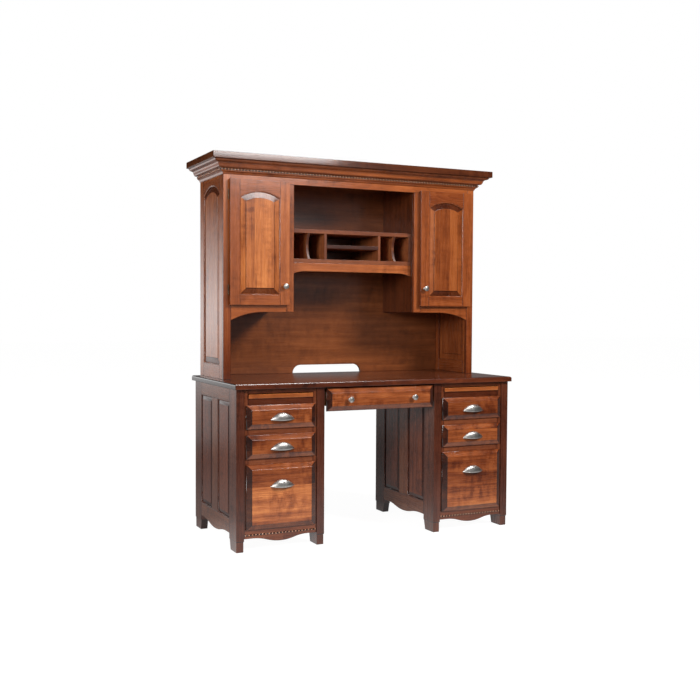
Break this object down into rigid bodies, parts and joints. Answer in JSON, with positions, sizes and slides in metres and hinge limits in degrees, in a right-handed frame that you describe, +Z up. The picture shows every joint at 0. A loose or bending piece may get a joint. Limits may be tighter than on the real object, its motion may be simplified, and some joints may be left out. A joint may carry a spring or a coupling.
{
  "type": "double pedestal desk with hutch",
  "caption": "Wooden executive desk on drawer pedestals with a kneehole, pull-out writing boards and a tall hutch of arched doors, open shelf, pigeonholes and crown moulding.",
  "frame": {"origin": "centre of the overall box on the floor, under the knee space", "axes": "+X to the right seen from the sitter's side, +Y from the sitter towards the back, +Z up"},
  "size_m": [1.5808, 0.72, 1.888],
  "materials": {
    "frame_wood": "dark reddish-brown stained hardwood, satin lacquer, rubbed edges",
    "panel_wood": "warm brown stained hardwood with visible boards, satin lacquer",
    "top_wood": "reddish-brown stained hardwood, glossy lacquer",
    "drawer_wood": "clear-finished light hardwood",
    "nickel": "satin nickel",
    "steel": "zinc-plated steel"
  },
  "bodies": {
    "desk": {"cabinet_shelves": "frame_wood", "crown_cap": "frame_wood", "crown_moulding": "frame_wood", "desktop": "top_wood", "hinge_frame_leaves": "steel", "hutch_back": "frame_wood", "hutch_carcass": "frame_wood", "hutch_face_frame": "frame_wood", "hutch_side_frames": "frame_wood", "hutch_side_panels": "panel_wood", "knee_back_rail": "frame_wood", "organizer_dividers": "frame_wood", "organizer_shelves": "frame_wood", "organizer_valance": "frame_wood", "pedestal_backs": "frame_wood", "pedestal_face_frames": "frame_wood", "pedestal_legs": "frame_wood", "pedestal_side_panels": "panel_wood", "pedestal_side_rails": "frame_wood", "rope_mouldings": "frame_wood", "slide_channels": "steel", "slide_cleats": "drawer_wood"},
    "left_door": {"left_door_frame": "frame_wood", "left_door_knob": "nickel", "left_door_leaves": "steel", "left_door_panel": "panel_wood"},
    "left_board": {"left_writing_board": "top_wood"},
    "left_upper_drawer": {"left_upper_drawer_box": "drawer_wood", "left_upper_drawer_front": "panel_wood", "left_upper_drawer_pull": "nickel", "left_upper_drawer_slides": "steel"},
    "left_middle_drawer": {"left_middle_drawer_box": "drawer_wood", "left_middle_drawer_front": "panel_wood", "left_middle_drawer_pull": "nickel", "left_middle_drawer_slides": "steel"},
    "left_file_drawer": {"left_file_drawer_box": "drawer_wood", "left_file_drawer_front": "panel_wood", "left_file_drawer_pull": "nickel", "left_file_drawer_slides": "steel"},
    "right_door": {"right_door_frame": "frame_wood", "right_door_knob": "nickel", "right_door_leaves": "steel", "right_door_panel": "panel_wood"},
    "right_board": {"right_writing_board": "top_wood"},
    "right_upper_drawer": {"right_upper_drawer_box": "drawer_wood", "right_upper_drawer_front": "panel_wood", "right_upper_drawer_pull": "nickel", "right_upper_drawer_slides": "steel"},
    "right_middle_drawer": {"right_middle_drawer_box": "drawer_wood", "right_middle_drawer_front": "panel_wood", "right_middle_drawer_pull": "nickel", "right_middle_drawer_slides": "steel"},
    "right_file_drawer": {"right_file_drawer_box": "drawer_wood", "right_file_drawer_front": "panel_wood", "right_file_drawer_pull": "nickel", "right_file_drawer_slides": "steel"},
    "pencil_drawer": {"pencil_drawer_box": "drawer_wood", "pencil_drawer_front": "panel_wood", "pencil_drawer_knobs": "nickel", "pencil_drawer_slides": "steel"}
  },
  "joints": [
    {"name": "left_door_hinge", "type": "hinge", "parent": "desk", "child": "left_door", "pos_m": [-0.6924, -0.0275, 1.4607], "axis": [0, 0, -1], "range_deg": [0, 105]},
    {"name": "right_door_hinge", "type": "hinge", "parent": "desk", "child": "right_door", "pos_m": [0.6924, -0.0275, 1.4607], "axis": [0, 0, 1], "range_deg": [0, 105]},
    {"name": "left_writing_board_slide", "type": "slide", "parent": "desk", "child": "left_board", "axis": [0, -1, 0], "range_m": [0, 0.35]},
    {"name": "left_upper_drawer_slide", "type": "slide", "parent": "desk", "child": "left_upper_drawer", "axis": [0, -1, 0], "range_m": [0, 0.38]},
    {"name": "left_middle_drawer_slide", "type": "slide", "parent": "desk", "child": "left_middle_drawer", "axis": [0, -1, 0], "range_m": [0, 0.38]},
    {"name": "left_file_drawer_slide", "type": "slide", "parent": "desk", "child": "left_file_drawer", "axis": [0, -1, 0], "range_m": [0, 0.4]},
    {"name": "right_writing_board_slide", "type": "slide", "parent": "desk", "child": "right_board", "axis": [0, -1, 0], "range_m": [0, 0.35]},
    {"name": "right_upper_drawer_slide", "type": "slide", "parent": "desk", "child": "right_upper_drawer", "axis": [0, -1, 0], "range_m": [0, 0.38]},
    {"name": "right_middle_drawer_slide", "type": "slide", "parent": "desk", "child": "right_middle_drawer", "axis": [0, -1, 0], "range_m": [0, 0.38]},
    {"name": "right_file_drawer_slide", "type": "slide", "parent": "desk", "child": "right_file_drawer", "axis": [0, -1, 0], "range_m": [0, 0.4]},
    {"name": "pencil_drawer_slide", "type": "slide", "parent": "desk", "child": "pencil_drawer", "axis": [0, -1, 0], "range_m": [0, 0.3]}
  ]
}
